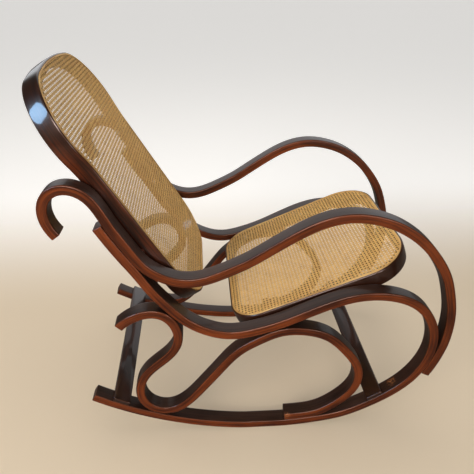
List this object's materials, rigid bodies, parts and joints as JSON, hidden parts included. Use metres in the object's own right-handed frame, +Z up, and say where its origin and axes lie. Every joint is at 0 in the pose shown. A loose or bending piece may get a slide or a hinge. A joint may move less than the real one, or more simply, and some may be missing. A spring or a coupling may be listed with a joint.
{
  "type": "rocking chair",
  "caption": "Bentwood rocking chair: scrolled side frames of bent strips on curved rockers, carrying a caned seat hoop and a tall caned back hoop.",
  "frame": {"origin": "on the floor, under the middle of the chair's bounding box", "axes": "+X to the sitter's front, +Y to the sitter's left, +Z up"},
  "size_m": [1.0254, 0.5704, 0.9886],
  "materials": {
    "bentwood": "gloss lacquer over reddish brown stain",
    "dark_bentwood": "gloss lacquer over dark brown stain",
    "cane": "natural split cane, open octagonal weave",
    "reed_spline": "natural reed",
    "steel": "zinc-plated screws"
  },
  "bodies": {
    "root": {"back_cane": "cane", "back_hoop": "dark_bentwood", "back_spline": "reed_spline", "front_stretcher": "dark_bentwood", "left_arm": "bentwood", "left_arm_front_lower_screw": "steel", "left_arm_front_upper_screw": "steel", "left_arm_rear_lower_screw": "steel", "left_arm_rear_upper_screw": "steel", "left_back_lower_screw": "steel", "left_back_lower_spacer": "dark_bentwood", "left_back_upper_screw": "steel", "left_back_upper_spacer": "dark_bentwood", "left_brace": "bentwood", "left_brace_crown_screw": "steel", "left_brace_foot_screw": "steel", "left_brace_heel_screw": "steel", "left_brace_shoulder_screw": "steel", "left_front_stretcher_screw": "steel", "left_rail_and_rocker": "bentwood", "left_rear_stretcher_screw": "steel", "left_seat_front_screw": "steel", "left_seat_rear_screw": "steel", "rear_stretcher": "dark_bentwood", "right_arm": "bentwood", "right_arm_front_lower_screw": "steel", "right_arm_front_upper_screw": "steel", "right_arm_rear_lower_screw": "steel", "right_arm_rear_upper_screw": "steel", "right_back_lower_screw": "steel", "right_back_lower_spacer": "dark_bentwood", "right_back_upper_screw": "steel", "right_back_upper_spacer": "dark_bentwood", "right_brace": "bentwood", "right_brace_crown_screw": "steel", "right_brace_foot_screw": "steel", "right_brace_heel_screw": "steel", "right_brace_shoulder_screw": "steel", "right_front_stretcher_screw": "steel", "right_rail_and_rocker": "bentwood", "right_rear_stretcher_screw": "steel", "right_seat_front_screw": "steel", "right_seat_rear_screw": "steel", "seat_cane": "cane", "seat_hoop": "dark_bentwood", "seat_spline": "reed_spline"}
  },
  "joints": []
}
